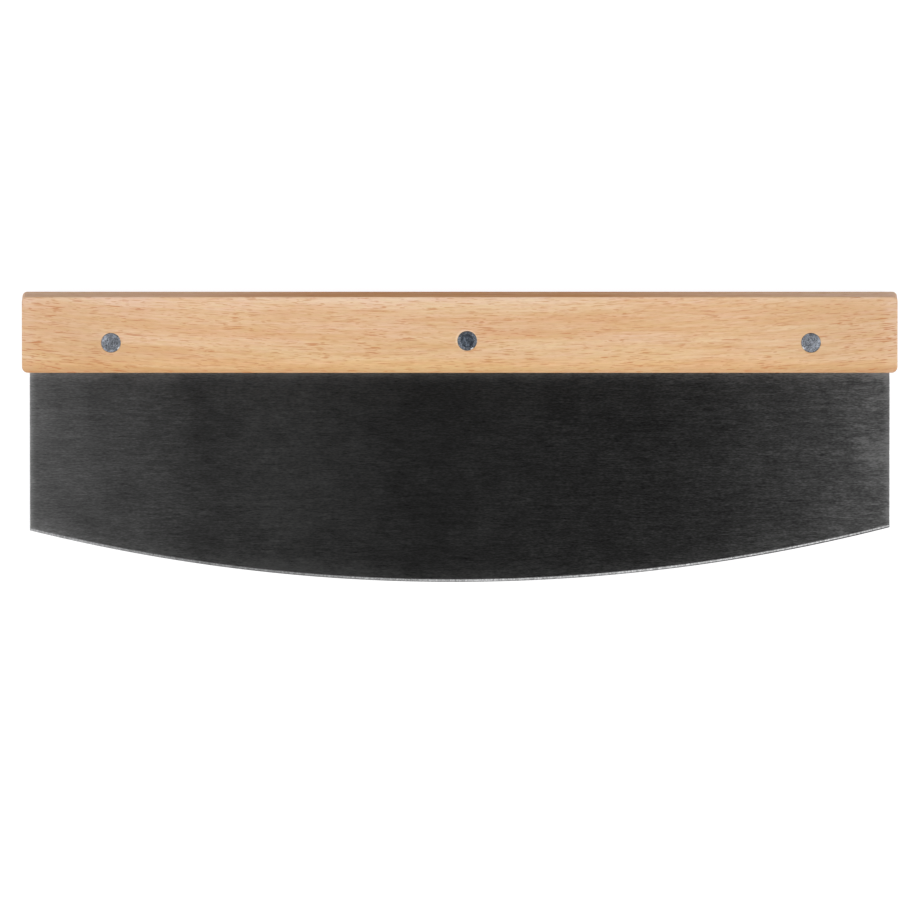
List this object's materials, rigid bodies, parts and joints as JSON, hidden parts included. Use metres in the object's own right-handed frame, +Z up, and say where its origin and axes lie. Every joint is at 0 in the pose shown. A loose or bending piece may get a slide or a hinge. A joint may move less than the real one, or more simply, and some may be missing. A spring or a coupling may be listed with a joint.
{
  "type": "rocking pizza knife",
  "caption": "Rocking pizza knife: a long steel blade with a curved cutting edge, held in the slot of a straight wooden handle bar by flush round rivets.",
  "frame": {"origin": "on the table, under the middle of the knife's box as it lies face up, resting on the handle's lower back edge and on the cutting edge", "axes": "+X along the handle, to the right as the front face is seen; +Y from the cutting edge towards the handle's top; +Z up from the table, the way the front face looks. The knife's own faces lean 6.47 degrees about X from these axes, with the handle's top raised, because the blade hangs down to the table in front of the thicker handle"},
  "size_m": [0.356, 0.1182, 0.0243],
  "materials": {
    "wood": "sanded pale hardwood with short pore lines along the grain, thin oil finish",
    "blade_steel": "brushed lengthwise, satin, with a bright ground cutting bevel",
    "rivet_metal": "ground flush, mottled grey"
  },
  "bodies": {
    "root": {"handle": "wood", "blade": "blade_steel", "left_rivet_pin": "rivet_metal", "left_rivet_sleeve": "rivet_metal", "middle_rivet_pin": "rivet_metal", "middle_rivet_sleeve": "rivet_metal", "right_rivet_pin": "rivet_metal", "right_rivet_sleeve": "rivet_metal"}
  },
  "joints": []
}
